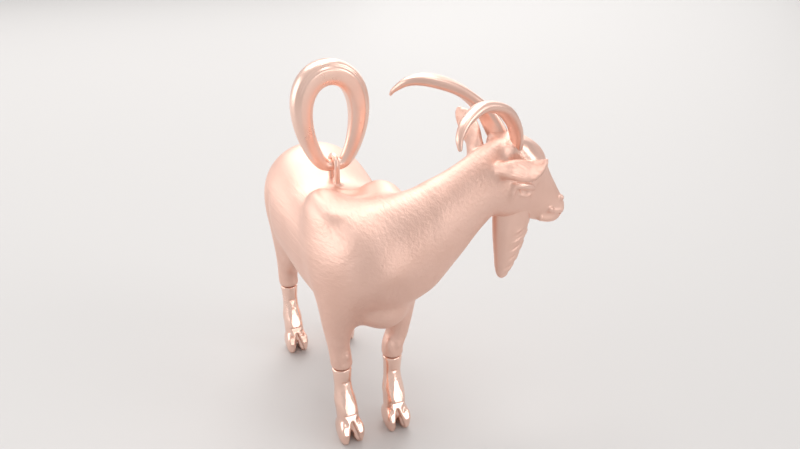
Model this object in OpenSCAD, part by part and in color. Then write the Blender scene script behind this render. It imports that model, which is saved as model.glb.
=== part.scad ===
// Goat pendant: a cast goat standing on four hooves, with its head turned to
// its left, a soldered eye ring on the back and a teardrop bail through it.
// Millimetres. +X is the way the goat's body faces, +Y its left, +Z up.
// The hooves stand on Z = 0.

/* [Bail] */
// Height of the bail's outline, from the bottom wire to the crown
bail_h = 14.3; // [13:0.1:15]
// Width of the bail's outline across its shoulders
bail_w = 10.3; // [9.8:0.1:10.8]
// Width of the band at the crown, along the way a chain passes
bail_band_w = 3.2; // [2.8:0.1:3.4]
// Thickness of the band at the crown
bail_band_t = 2.6; // [2.2:0.1:2.8]
// Diameter of the round wire at the bottom of the bail
bail_wire_d = 1.5; // [1.2:0.05:1.6]

/* [Eye ring] */
// Wire diameter of the eye ring
ring_wire_d = 0.75; // [0.6:0.05:0.85]
// Radius of the arch's hole
ring_hole_r = 0.82; // [0.82:0.01:0.95]
// Height of the centre of the arch above the ground
ring_z = 33.7; // [33.4:0.1:34]

/* [Horns] */
// Greatest width of a horn's flattened section
horn_deep = 3.1; // [2.4:0.1:3.3]
// Greatest thickness of a horn's flattened section
horn_thin = 1.5; // [1.2:0.1:2]

/* [Legs] */
// Diameter of the peg that fits a lower leg into its socket
peg_d = 1.3; // [1:0.05:1.5]
// Length of the peg above the knee seam
peg_l = 2.2; // [1.5:0.1:2.6]
// Diameter of the collar at the top of a lower leg
shin_d = 2.5; // [2.3:0.05:2.7]

/* [Hidden] */
$fn = 48;
// Place of the design axes in the row frame
ox = -0.9;
oy = -8.9;
// Place of the eye ring, its centre line radius, and the foot of its two struts
ring_x = -1.9;
ring_r = ring_hole_r + ring_wire_d / 2;
ring_foot_z = 29.8;
// Plane of the turned head, and its small roll and turn
hx = 13;
roll = 0.06;
turn = 0.05;
gold = [0.89, 0.69, 0.61];
gold_light = [0.94, 0.77, 0.69];

// ---- helpers -------------------------------------------------------------
function at(v, i) = v[max(0, min(len(v) - 1, i))];
function cr(a, b, c, d, t) = 0.5 * (2 * b + (c - a) * t + (2 * a - 5 * b + 4 * c - d) * t * t + (3 * b - a - 3 * c + d) * t * t * t);
// Smooth curve through rows of numbers, n steps between rows
function smooth(v, n) = concat([for (i = [0:len(v) - 2], k = [0:n - 1]) cr(at(v, i - 1), v[i], v[i + 1], at(v, i + 2), k / n)], [v[len(v) - 1]]);
function xyz(r) = [r[0], r[1], r[2]];
function unit(v) = v / max(norm(v), 1e-9);
function sg(x) = x < 0 ? -1 : 1;
function pw(x, e) = sg(x) * pow(abs(x), e);
// One ring of a loft: row = [x, y, z, half side, half up, half down, squareness]
function ring(row, tan, ref, m) =
    let (s = unit(cross(tan, ref)), u = cross(s, tan), e = 2 / row[6])
    [for (j = [0:m - 1]) let (a = 360 * j / m, c = pw(cos(a), e), q = pw(sin(a), e))
        xyz(row) + s * max(0.02, row[3]) * c + u * (q > 0 ? max(0.02, row[4]) : max(0.02, row[5])) * q];
// Closed loft through rows, with rings square to its own centre line. The side
// that faces ref at the start faces ref2 at the end
module loft(rows, ref, m, n, ref2 = undef) {
    v = smooth(rows, n);
    k = len(v);
    r2 = is_undef(ref2) ? ref : ref2;
    pts = [for (i = [0:k - 1]) each ring(v[i], unit(xyz(at(v, i + 1)) - xyz(at(v, i - 1))), ref + (r2 - ref) * min(1, 1.6 * i / k), m)];
    solid(pts, k, m);
}
module solid(pts, k, m) {
    ends = [[for (j = [m - 1:-1:0]) j], [for (j = [0:m - 1]) (k - 1) * m + j]];
    sides = [for (i = [0:k - 2], j = [0:m - 1]) each
        [[i * m + j, (i + 1) * m + (j + 1) % m, (i + 1) * m + j], [i * m + j, i * m + (j + 1) % m, (i + 1) * m + (j + 1) % m]]];
    polyhedron(points = pts, faces = concat(ends, sides), convexity = 6);
}
// Head frame: f forward, h up in the head's own plane, d to its right
function hd(d, f, h) = [hx + d, f + turn * d, h - roll * d];
function hrow(d, f, h, a, b, c, e) = concat(hd(d, f, h), [a, b, c, e]);

// ---- casting -------------------------------------------------------------
torso_rows = [
    [-17.3, 0, 27.2, 0.8, 0.8, 1.2, 2],
    [-16.8, 0, 27.2, 3.2, 3.2, 4.2, 2],
    [-15.3, 0, 27.2, 5.5, 5.4, 7.0, 2],
    [-12.8, 0, 27.0, 7.0, 6.9, 8.6, 2.1],
    [-10.0, 0, 26.6, 7.5, 7.1, 8.8, 2.2],
    [-6.5, 0, 26.0, 7.5, 6.6, 8.4, 2.35],
    [-2.0, 0, 25.4, 7.3, 5.9, 8.0, 2.5],
    [2.5, 0, 25.3, 7.1, 6.1, 8.2, 2.5],
    [6.5, 0, 25.4, 6.8, 6.8, 8.8, 2.3],
    [10.0, 0, 25.2, 6.3, 7.2, 9.2, 2.2],
    [12.6, 0.4, 24.4, 5.4, 6.6, 8.5, 2.1],
    [14.4, 0.8, 23.6, 3.9, 4.8, 6.2, 2],
    [15.3, 1.0, 23.0, 1.8, 2.2, 2.8, 2]
];
neck_rows = [
    [7.6, -2.2, 24.4, 4.0, 5.6, 5.8, 2],
    [9.8, 0.6, 25.8, 5.2, 6.8, 7.2, 2.1],
    [11.6, 3.6, 27.4, 5.0, 6.4, 6.8, 2.1],
    [12.6, 6.8, 29.5, 4.3, 5.5, 5.4, 2.05],
    [13.0, 9.8, 31.7, 3.6, 4.6, 4.4, 2],
    [13.1, 12.6, 33.5, 3.2, 4.2, 3.8, 2],
    [13.0, 15.2, 34.8, 3.0, 4.2, 3.8, 2],
    [13.0, 16.4, 34.9, 2.4, 3.4, 3.2, 2]
];
// Head stations along its axis: place, top, bottom, half width
function head_at(s, t, b, w, e) = let (c = (t + b) / 2, f = 16 + 0.83 * s + 0.56 * c, h = 34.5 - 0.56 * s + 0.83 * c)
    hrow(0, f, h, w, (t - b) / 2, (t - b) / 2, e);
head_rows = [
    head_at(-2.6, 2.2, -1.6, 1.2, 2),
    head_at(-2.2, 4.2, -3.2, 2.4, 2.3),
    head_at(-1.0, 5.5, -4.2, 3.2, 2.9),
    head_at(0.8, 5.8, -4.5, 3.4, 3),
    head_at(2.6, 5.2, -4.2, 3.1, 2.6),
    head_at(4.2, 4.4, -3.6, 2.6, 2.3),
    head_at(6.0, 3.5, -2.9, 2.1, 2.2),
    head_at(8.0, 2.6, -2.3, 1.7, 2.2),
    head_at(9.4, 2.0, -1.9, 1.5, 2.2),
    head_at(10.2, 1.5, -1.5, 1.25, 2.1),
    head_at(10.7, 0.7, -0.7, 0.7, 2)
];
// Centre line of each ear in the head frame, from root to tip: d, f, h, half thickness, half breadth
ear_right_line = [
    [1.4, 13.9, 36.2, 0.9, 0.8], [2.2, 14.0, 36.5, 0.75, 0.75], [3.0, 14.2, 36.9, 0.65, 0.75], [4.6, 14.7, 37.4, 0.55, 1.0],
    [5.8, 15.1, 37.7, 0.5, 1.15], [7.0, 15.6, 38.1, 0.42, 1.1], [7.95, 15.9, 38.8, 0.32, 0.7], [8.4, 16.1, 39.6, 0.2, 0.25]
];
ear_left_line = [
    [1.4, 13.8, 36.4, 0.9, 0.8], [2.2, 14.1, 37.1, 0.75, 0.8], [3.0, 14.3, 37.8, 0.65, 1.1], [4.4, 14.7, 38.5, 0.55, 1.4],
    [5.8, 14.9, 39.1, 0.5, 1.45], [7.0, 15.0, 39.8, 0.42, 1.25], [7.9, 14.9, 40.4, 0.32, 0.8], [8.3, 14.9, 40.9, 0.2, 0.25]
];
function ear_rows(s) = [for (p = s > 0 ? ear_right_line : ear_left_line) hrow(s * p[0], p[1], p[2], p[3], p[4], p[4], 2)];
// Upper legs: [x, y] of the knee, its height, and the lean into the torso
function thigh_rows(x, y, z, s) = [
    [x - 3.8, s * 3.2, 33.0, 1.0, 1.4, 1.4, 2],
    [x - 3.8, s * 3.3, 32.5, 2.1, 3.2, 3.0, 2],
    [x - 3.6, s * 3.5, 30.8, 2.9, 4.8, 4.4, 2],
    [x - 1.8, s * 3.9, 26.0, 2.9, 4.2, 4.0, 2],
    [x, s * 3.9, 21.0, 2.6, 3.2, 3.2, 2],
    [x + 0.1, s * 4.0, 17.4, 2.1, 2.3, 2.3, 2],
    [x, s * 4.0, 14.4, 1.45, 1.6, 1.6, 2],
    [x, s * (abs(y) + 0.1), 12.4, 1.35, 1.45, 1.45, 2],
    [x, y, z + 0.5, 1.35, 1.45, 1.45, 2],
    [x, y, z, 1.25, 1.3, 1.3, 2]
];
function haunch_rows(x, y, z, s) = [
    [x + 3.2, s * 3.2, 25.5, 3.4, 4.4, 4.2, 2],
    [x + 2.6, s * 3.6, 21.5, 3.2, 4.2, 3.6, 2],
    [x + 1.4, s * 3.9, 17.6, 2.3, 3.0, 2.6, 2],
    [x + 0.3, s * 4.1, 14.4, 1.6, 1.8, 1.7, 2],
    [x, s * (abs(y) + 0.05), 12.6, 1.45, 1.5, 1.5, 2],
    [x, y, z + 0.5, 1.4, 1.5, 1.5, 2],
    [x, y, z, 1.25, 1.3, 1.3, 2]
];
// Knee places
knee_fr = [9.4, -3.7, 10.7];
knee_fl = [9.4, 3.3, 10.7];
knee_rr = [-13.9, -4.1, 11.0];
knee_rl = [-13.9, 4.1, 11.0];
module body() {
    color(gold) difference() {
        resize([0, 0, 0]) difference() {
            union() {
                loft(torso_rows, [0, 0, 1], 32, 3);
                loft(neck_rows, [0, 0, 1], 28, 3);
                loft(head_rows, [roll, 0, 1], 28, 3);
                for (s = [1, -1]) loft(ear_rows(s), [0, 0.4, 1], 14, 3);
                loft(thigh_rows(knee_fr[0], knee_fr[1], knee_fr[2], -1), [1, 0, 0], 20, 3);
                loft(thigh_rows(knee_fl[0], knee_fl[1], knee_fl[2], 1), [1, 0, 0], 20, 3);
                loft(haunch_rows(knee_rr[0], knee_rr[1], knee_rr[2], -1), [1, 0, 0], 20, 3);
                loft(haunch_rows(knee_rl[0], knee_rl[1], knee_rl[2], 1), [1, 0, 0], 20, 3);
            }
            horn_solid(1);
            horn_solid(-1);
            beard_solid();
            tail_solid();
        }
        for (k = [knee_fr, knee_fl, knee_rr, knee_rl]) translate([k[0], k[1], k[2] - 1]) cylinder(d = peg_d, h = peg_l + 1);
        for (s = [1, -1]) translate([ring_x + s * ring_r, 0, ring_foot_z]) cylinder(d = ring_wire_d, h = 4);
    }
}

// ---- lower legs ----------------------------------------------------------
// dx: how far the hoof's middle stands in front of the knee; dy: how far it stands in
function shin_rows(z, dx, dy) = [
    [0, 0, z, shin_d / 2 - 0.05, shin_d / 2, shin_d / 2, 2],
    [0, dy * 0.1, z - 1.0, 1.15, 1.2, 1.2, 2],
    [-0.1, dy * 0.3, z - 3.0, 1.05, 1.1, 1.1, 2],
    [-0.2, dy * 0.6, z - 5.0, 1.25, 1.1, 1.4, 2],
    [0, dy * 0.8, z - 6.8, 1.2, 1.2, 1.3, 2],
    [dx * 0.35, dy * 0.95, z - 8.4, 1.3, 1.2, 1.3, 2],
    [dx * 0.6, dy, 1.2, 1.2, 1.3, 1.2, 2],
    [dx * 0.6, dy, 1.0, 0.6, 0.7, 0.7, 2]
];
// One claw of a hoof, side q, as a loft along X
function claw_rows(dx, dy, q, w) = [
    [dx - 2.2, dy + q * w * 0.5, 0.9, 0.3, 0.5, 0.7, 2],
    [dx - 1.9, dy + q * w * 0.5, 1.0, 0.75, 1.1, 1.3, 2.2],
    [dx - 0.6, dy + q * w * 0.52, 1.0, 0.86, 1.4, 1.3, 2.3],
    [dx + 0.6, dy + q * w * 0.52, 0.8, 0.8, 1.1, 1.1, 2.3],
    [dx + 1.6, dy + q * w * 0.48, 0.5, 0.55, 0.65, 0.8, 2.2],
    [dx + 2.0, dy + q * w * 0.42, 0.3, 0.2, 0.3, 0.5, 2]
];
module lower_leg(knee, dx, dy, w) {
    color(gold_light) translate([knee[0], knee[1], 0]) {
        union() {
            resize([0, 0, 0]) intersection() {
                union() {
                    loft(shin_rows(knee[2], dx, dy), [1, 0, 0], 18, 3);
                    for (q = [1, -1]) loft(claw_rows(dx, dy, q, w), [0, 0, 1], 14, 2);
                }
                translate([-5, -5, 0]) cube([12, 10, 20]);
            }
            translate([0, 0, knee[2] - 0.5]) cylinder(d = peg_d, h = peg_l + 0.5);
        }
    }
}
module leg_front_right() lower_leg(knee_fr, 0.9, 0.4, 1.7);
module leg_front_left() lower_leg(knee_fl, 0.9, 0, 1.7);
module leg_rear_right() lower_leg(knee_rr, 0.9, 0.2, 1.7);
module leg_rear_left() lower_leg(knee_rl, 0.9, -0.2, 1.7);

// ---- horns, beard, tail --------------------------------------------------
// Centre line of each horn in the head frame, from root to tip: d, f, h, and shares of the section's thickness and width
horn_right_line = [
    [1.5, 16.8, 38.4, 0.40, 0.38], [2.1, 16.4, 39.8, 0.41, 0.47], [3.1, 15.2, 42.1, 0.41, 0.46], [4.5, 12.7, 44.5, 0.47, 0.42],
    [5.6, 9.6, 45.4, 0.46, 0.34], [6.9, 7.0, 44.7, 0.34, 0.24], [7.9, 5.6, 43.4, 0.24, 0.15], [8.4, 5.4, 42.1, 0.1, 0.07]
];
horn_left_line = [
    [1.5, 16.7, 38.4, 0.40, 0.38], [2.1, 16.3, 39.8, 0.41, 0.47], [3.3, 15.1, 42.1, 0.43, 0.46], [4.7, 12.6, 44.3, 0.47, 0.42],
    [6.0, 9.6, 45.3, 0.45, 0.32], [7.1, 7.5, 45.1, 0.36, 0.22], [8.3, 6.2, 43.9, 0.22, 0.13], [8.7, 5.8, 43.1, 0.1, 0.07]
];
function horn_rows(s) = [for (p = s > 0 ? horn_right_line : horn_left_line)
    hrow(s * p[0], p[1], p[2], p[3] * horn_thin, p[4] * horn_deep, p[4] * horn_deep, 2)];
module horn_solid(s) loft(horn_rows(s), [s * 0.81, -0.33, -0.45], 16, 3, [s * 0.8, 0.54, 0.27]);
module horn_right() color(gold) horn_solid(1);
module horn_left() color(gold) horn_solid(-1);
module beard_solid() loft([
    hrow(0, 18.1, 29.2, 1.5, 2.6, 2.7, 2),
    hrow(0, 17.9, 26.6, 1.4, 2.3, 2.3, 2),
    hrow(0, 17.5, 24.2, 1.15, 1.7, 1.7, 2),
    hrow(0, 17.2, 22.4, 0.85, 1.15, 1.15, 2),
    hrow(0, 17.1, 21.2, 0.5, 0.7, 0.7, 2),
    hrow(0, 17.1, 20.8, 0.2, 0.25, 0.25, 2)
], [0, 1, 0], 16, 3);
module beard() color(gold_light) beard_solid();
module tail_solid() loft([
    [-16.0, 0, 29.8, 0.9, 0.9, 0.9, 2],
    [-17.2, 0, 30.0, 1.0, 0.9, 0.9, 2],
    [-18.4, 0, 29.2, 1.1, 0.7, 0.7, 2],
    [-19.2, 0, 27.8, 0.9, 0.5, 0.5, 2],
    [-19.6, 0, 26.6, 0.4, 0.25, 0.25, 2]
], [1, 0, 1], 14, 3);
module tail() color(gold) tail_solid();

// ---- eye ring and bail ---------------------------------------------------
module eye_ring() color(gold) translate([ring_x, 0, 0]) union() {
    for (s = [1, -1]) translate([s * ring_r, 0, ring_foot_z]) cylinder(d = ring_wire_d, h = ring_z - ring_foot_z);
    translate([0, 0, ring_z]) rotate([90, 0, 0]) rotate_extrude(angle = 180) translate([ring_r, 0]) circle(d = ring_wire_d);
}
// Bail: a teardrop band in the YZ plane, flat inside and at its edges and domed
// outside, that narrows to a round wire. The wire's lowest stretch is a straight
// round pin that turns in the eye ring
pin_half = 0.85;
module bail() color(gold_light) translate([ring_x, 0, ring_z]) {
    m = 28;
    k = 26;
    h = bail_h - bail_wire_d / 2 - bail_band_t / 2;
    wd = bail_wire_d - 0.06;
    half = [for (i = [0:k]) let (a = 180 * i / k, g = (1 - cos(a)) / 2, c = cos(a / 2))
        [pin_half * c * c + ((bail_w - 2.2) / 2 * 1.07) * sin(a) * (0.6 + 0.4 * g), h * pow(g, 0.9),
            wd + (bail_band_w - wd) * pow(g, 0.8), wd + (bail_band_t - wd) * g, 2 + 3.5 * min(1, 2 * g)]];
    line = concat(half, [for (i = [k - 1:-1:0]) let (p = half[i]) [-p[0], p[1], p[2], p[3], p[4]]]);
    n = len(line);
    all = [for (i = [0:n - 1]) let (p = line[i], n1 = at(line, i + 1), n0 = at(line, i - 1),
            tn = (i == 0 || i == n - 1) ? [0, 1, 0] : unit([0, n1[0] - n0[0], n1[1] - n0[1]]), nr = [0, tn[2], -tn[1]])
        each [for (j = [0:m - 1]) let (b = -360 * j / m, q = sin(b), e = q > 0 ? 2 : p[4])
            [p[2] / 2 * pw(cos(b), 2 / e), p[0], p[1]] + nr * p[3] / 2 * pw(q, 2 / e)]];
    union() {
        solid(all, n, m);
        rotate([90, 0, 0]) cylinder(d = bail_wire_d, h = 2 * pin_half + 0.1, center = true);
    }
}

translate([ox, oy, 0]) {
    body();
    leg_front_right();
    leg_front_left();
    leg_rear_right();
    leg_rear_left();
    horn_right();
    horn_left();
    beard();
    tail();
    eye_ring();
    bail();
}
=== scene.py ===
# Looks of the goat pendant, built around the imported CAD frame.
# Lengths in the modelling functions are millimetres in the design axes: x = 0 midway between
# the toes, y = 0 the goat's own mid plane, z = 0 the soles. PLACE puts them in the row frame.
import math

import bpy
import numpy as np
import openvdb as vdb
from mathutils import Matrix, Vector


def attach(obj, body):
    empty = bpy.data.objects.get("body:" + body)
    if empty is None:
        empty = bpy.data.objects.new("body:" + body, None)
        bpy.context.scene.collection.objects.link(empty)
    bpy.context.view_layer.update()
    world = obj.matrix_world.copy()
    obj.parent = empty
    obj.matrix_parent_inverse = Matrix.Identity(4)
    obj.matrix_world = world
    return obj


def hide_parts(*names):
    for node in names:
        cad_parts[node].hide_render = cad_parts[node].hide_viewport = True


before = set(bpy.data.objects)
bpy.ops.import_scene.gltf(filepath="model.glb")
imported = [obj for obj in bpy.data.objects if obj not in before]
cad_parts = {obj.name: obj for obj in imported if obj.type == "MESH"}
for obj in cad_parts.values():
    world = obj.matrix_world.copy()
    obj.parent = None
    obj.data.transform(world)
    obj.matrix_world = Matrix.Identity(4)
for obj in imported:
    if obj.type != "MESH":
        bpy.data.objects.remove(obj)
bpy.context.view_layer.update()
PLACE = np.array([-0.9, -8.9, 0.0])
MM = 0.001


# ---------------------------------------------------------------- curves and lofts
def vec(*v):
    return np.array(v, float)


def unit(v):
    return v / np.maximum(np.linalg.norm(v, axis=-1, keepdims=True), 1e-9)


def smooth_rows(rows, n):
    """Catmull-Rom curve through rows of numbers, n steps between rows."""
    v = np.array(rows, float)
    p = np.concatenate([v[:1], v, v[-1:]])
    out = []
    for i in range(len(v) - 1):
        a, b, c, d = p[i], p[i + 1], p[i + 2], p[i + 3]
        for k in range(n):
            t = k / n
            out.append(0.5 * (2 * b + (c - a) * t + (2 * a - 5 * b + 4 * c - d) * t * t + (3 * b - a - 3 * c + d) * t ** 3))
    out.append(v[-1])
    return np.array(out)


def rings(rows, ref, m, n, ref2=None):
    """Rings of a loft; row = [x, y, z, half side, half up, half down, squareness]."""
    v = smooth_rows(rows, n)
    k = len(v)
    nxt = v[np.minimum(np.arange(k) + 1, k - 1), :3]
    prv = v[np.maximum(np.arange(k) - 1, 0), :3]
    tan = unit(nxt - prv)
    r1 = np.array(ref, float)
    r2 = r1 if ref2 is None else np.array(ref2, float)
    w = np.minimum(1, 1.6 * np.arange(k) / k)[:, None]
    r = r1 + (r2 - r1) * w
    s = unit(np.cross(tan, r))
    u = np.cross(s, tan)
    a = 2 * np.pi * np.arange(m) / m
    e = 2 / v[:, 6:7]
    c = np.sign(np.cos(a)) * np.abs(np.cos(a)) ** e
    q = np.sign(np.sin(a)) * np.abs(np.sin(a)) ** e
    hs = np.maximum(0.02, v[:, 3:4]) * c
    hu = np.where(q > 0, np.maximum(0.02, v[:, 4:5]), np.maximum(0.02, v[:, 5:6])) * q
    return v[:, None, :3] + s[:, None, :] * hs[..., None] + u[:, None, :] * hu[..., None]


def ring_faces(k, m, closed_path=False):
    i, j = np.meshgrid(np.arange(k if closed_path else k - 1), np.arange(m), indexing="ij")
    i2, j2 = (i + 1) % k, (j + 1) % m
    return np.stack([i * m + j, i2 * m + j, i2 * m + j2, i * m + j2], -1).reshape(-1, 4)


# ---------------------------------------------------------------- distance fields on a grid
# The turned head gets a finer grid than the trunk: space is magnified smoothly about HEAD_C
# as y grows, and the finished mesh is mapped back.
HEAD_C = vec(13.0, 12.0, 31.0)
HEAD_S = 1.6


def scale_at(y):
    t = np.clip((y - 6.0) / 7.0, 0, 1)
    return 1 + (HEAD_S - 1) * t * t * (3 - 2 * t)


def warp(p):
    s = scale_at(p[..., 1])[..., None]
    return HEAD_C + (p - HEAD_C) * s


_ty = np.linspace(-30, 60, 9001)
_tw = HEAD_C[1] + (_ty - HEAD_C[1]) * scale_at(_ty)


def unwarp_y(y):
    return np.interp(y, _tw, _ty)


def unwarp(p):
    y = unwarp_y(p[..., 1])
    s = scale_at(y)
    return np.stack([HEAD_C[0] + (p[..., 0] - HEAD_C[0]) / s, y, HEAD_C[2] + (p[..., 2] - HEAD_C[2]) / s], -1)


def same(p):
    return p


def smin(a, b, k):
    if k <= 0:
        return np.minimum(a, b)
    h = np.maximum(k - np.abs(a - b), 0) / k
    return np.minimum(a, b) - h * h * h * (k / 6)


def smax(a, b, k):
    return -smin(-a, -b, k)


class Grid:
    """A block of signed distances in millimetres, negative inside."""

    def __init__(self, lo, hi, vx, band, warped=False):
        self.vx, self.band, self.warped = vx, band, warped
        self.i0 = np.floor(np.array(lo) / vx).astype(int)
        n = np.ceil(np.array(hi) / vx).astype(int) - self.i0 + 1
        self.a = np.full(n, band, np.float32)

    def to(self, p):
        return warp(p) if self.warped else p

    def window(self, lo, hi):
        a = np.maximum(np.floor(np.array(lo) / self.vx).astype(int), self.i0)
        b = np.minimum(np.ceil(np.array(hi) / self.vx).astype(int) + 1, self.i0 + np.array(self.a.shape))
        return a, b, tuple(slice(x - o, y - o) for x, y, o in zip(a, b, self.i0))

    def sweep(self, pts):
        """Distances to a closed tube of rings, with the block's window that they fill."""
        k, m = pts.shape[:2]
        flat = self.to(pts.reshape(-1, 3))
        ends = self.to(np.stack([pts[0].mean(0), pts[-1].mean(0)]))
        v = np.concatenate([flat, ends]).astype(np.float32)
        j = np.arange(m)
        tris = np.concatenate([np.stack([np.full(m, k * m), (j + 1) % m, j], -1),
                               np.stack([np.full(m, k * m + 1), (k - 1) * m + j, (k - 1) * m + (j + 1) % m], -1)])
        g = vdb.FloatGrid.createLevelSetFromPolygons(
            v, triangles=tris.astype(np.uint32), quads=ring_faces(k, m).astype(np.uint32),
            transform=vdb.createLinearTransform(voxelSize=self.vx), halfWidth=self.band / self.vx)
        lo, hi, w = self.window(v.min(0) - self.band, v.max(0) + self.band)
        out = np.empty(hi - lo, np.float32)
        g.copyToArray(out, ijk=tuple(int(c) for c in lo))
        return w, out

    def loft(self, rows, ref, k=0.0, m=96, n=14, ref2=None):
        w, d = self.sweep(rings(rows, ref, m, n, ref2))
        self.a[w] = smin(self.a[w], d, k)

    def blur(self, passes, mask=None):
        b = self.a
        for _ in range(passes):
            for ax in range(3):
                c = np.moveaxis(b, ax, 0)
                o = c.copy()
                o[1:-1] = 0.5 * c[1:-1] + 0.25 * (c[2:] + c[:-2])
                b = np.moveaxis(o, 0, ax)
        b = np.ascontiguousarray(b)
        self.a = b if mask is None else self.a + (b - self.a) * mask

    def axes(self, w=None):
        """True x, y, z in millimetres for a window, ready to broadcast, and the local scale."""
        w = w or tuple(slice(0, n) for n in self.a.shape)
        ax = [(np.arange(s.start, s.stop) + o) * self.vx for s, o in zip(w, self.i0)]
        if not self.warped:
            return ax[0][:, None, None], ax[1][None, :, None], ax[2][None, None, :], 1.0
        y = unwarp_y(ax[1])
        s = scale_at(y)
        return ((HEAD_C[0] + (ax[0][:, None] - HEAD_C[0]) / s[None])[:, :, None], y[None, :, None],
                (HEAD_C[2] + (ax[2][None] - HEAD_C[2]) / s[:, None])[None], s[None, :, None])

    def up(self):
        """The same field on a grid of half the spacing."""
        a = self.a
        for ax in range(3):
            a = np.moveaxis(a, ax, 0)
            n = a.shape[0]
            p = np.concatenate([a[:1], a, a[-1:]])
            o = np.empty((2 * n - 1,) + a.shape[1:], np.float32)
            o[::2] = a
            o[1::2] = (9 * (p[1:n] + p[2:n + 1]) - (p[0:n - 1] + p[3:n + 2])) / 16
            a = np.moveaxis(o, 0, ax)
        self.a = np.ascontiguousarray(a)
        self.i0 = self.i0 * 2
        self.vx /= 2

    def edit(self, centre, reach, fn):
        """Change the field within reach of a point: fn(field, x, y, z) gives the new field, in true millimetres."""
        c, r = np.array(centre, float), np.array(reach, float) * np.ones(3)
        corners = self.to(np.array([c + r * vec(i, j, k) for i in (-1, 1) for j in (-1, 1) for k in (-1, 1)]))
        lo, hi, w = self.window(corners.min(0), corners.max(0))
        if np.any(hi - lo < 2):
            return
        x, y, z, s = self.axes(w)
        self.a[w] = (fn(self.a[w] / s, x, y, z) * s).astype(np.float32)

    def add(self, shape, k=0.3, cut=False):
        d, centre, reach = shape
        if cut:
            self.edit(centre, reach + k + 0.4, lambda f, x, y, z: smax(f, -d(x, y, z), k))
        else:
            self.edit(centre, reach + k + 0.4, lambda f, x, y, z: smin(f, d(x, y, z), k))

    def cut(self, shape, k=0.3):
        self.add(shape, k, True)

    def smooth(self, centre, reach, passes):
        """Blur the field inside an ellipsoid of the given half sizes."""
        c, r = np.array(centre, float), np.array(reach, float) * np.ones(3)
        corners = self.to(np.array([c + r * vec(i, j, k) for i in (-1, 1) for j in (-1, 1) for k in (-1, 1)]))
        lo, hi, w = self.window(corners.min(0), corners.max(0))
        x, y, z, s = self.axes(w)
        m = np.clip((1 - np.sqrt(((x - c[0]) / r[0]) ** 2 + ((y - c[1]) / r[1]) ** 2 + ((z - c[2]) / r[2]) ** 2)) / 0.35, 0, 1)
        b = self.a[w].copy()
        for _ in range(passes):
            for ax in range(3):
                q = np.moveaxis(b, ax, 0)
                o = q.copy()
                o[1:-1] = 0.5 * q[1:-1] + 0.25 * (q[2:] + q[:-2])
                b = np.moveaxis(o, 0, ax)
        self.a[w] = (self.a[w] + (b - self.a[w]) * m).astype(np.float32)

    def mesh(self, rounds=4):
        """Quads of the surface, evened out, in design millimetres."""
        g = vdb.FloatGrid(self.band)
        g.copyFromArray(self.a, ijk=(0, 0, 0), tolerance=0.0)
        pts, quads = g.convertToQuads()
        pts = (np.asarray(pts, float) + self.i0) * self.vx
        quads = np.asarray(quads).astype(np.int64)
        pts = taubin(pts, quads, rounds)
        if self.warped:
            pts = unwarp(pts)
        return pts, quads


def taubin(pts, quads, rounds, a=0.55, b=-0.58):
    e = np.concatenate([quads[:, [0, 1]], quads[:, [1, 2]], quads[:, [2, 3]], quads[:, [3, 0]]])
    e = np.unique(np.sort(e, 1), axis=0)
    i, j = np.concatenate([e[:, 0], e[:, 1]]), np.concatenate([e[:, 1], e[:, 0]])
    n = len(pts)
    deg = np.maximum(np.bincount(i, minlength=n), 1)
    for r in range(rounds):
        for f in (a, b):
            mean = np.stack([np.bincount(i, weights=pts[j, c], minlength=n) for c in range(3)], -1) / deg[:, None]
            pts = pts + f * (mean - pts)
    return pts


def ellipsoid(c, r, axes=None):
    """Shape: ellipsoid at c with radii r along the given axes (rows)."""
    c, r = np.array(c, float), np.array(r, float)
    A = np.eye(3) if axes is None else unit(np.array(axes, float))

    def d(x, y, z):
        x, y, z = x - c[0], y - c[1], z - c[2]
        q = [(A[i, 0] * x + A[i, 1] * y + A[i, 2] * z) / r[i] for i in range(3)]
        k0 = np.sqrt(q[0] ** 2 + q[1] ** 2 + q[2] ** 2) + 1e-6
        k1 = np.sqrt((q[0] / r[0]) ** 2 + (q[1] / r[1]) ** 2 + (q[2] / r[2]) ** 2) + 1e-6
        return k0 * (k0 - 1) / k1

    return d, c, r.max()


def tube(points, radii, n=5, k=0.0):
    """Shape: a round tube through points, with a radius at each point."""
    row = smooth_rows([list(p) + [q] for p, q in zip(points, radii)], n)
    lo, hi = row[:, :3].min(0), row[:, :3].max(0)

    def d(x, y, z):
        best = None
        for a, b in zip(row[:-1], row[1:]):
            ab = b[:3] - a[:3]
            px, py, pz = x - a[0], y - a[1], z - a[2]
            t = np.clip((px * ab[0] + py * ab[1] + pz * ab[2]) / max(ab @ ab, 1e-9), 0, 1)
            q = np.sqrt((px - t * ab[0]) ** 2 + (py - t * ab[1]) ** 2 + (pz - t * ab[2]) ** 2) - (a[3] + t * (b[3] - a[3]))
            best = q if best is None else np.minimum(best, q)
        return best

    return d, (lo + hi) / 2, (hi - lo).max() / 2 + max(radii)


def cylinder(c, r, z0, z1):
    """Shape: an upright cylinder."""
    def d(x, y, z):
        a = np.hypot(x - c[0], y - c[1]) - r
        b = np.abs(z - (z0 + z1) / 2) - (z1 - z0) / 2
        return np.maximum(a, b) + 0 * (x + y + z)

    return d, vec(c[0], c[1], (z0 + z1) / 2), max(r, (z1 - z0) / 2)


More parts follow.
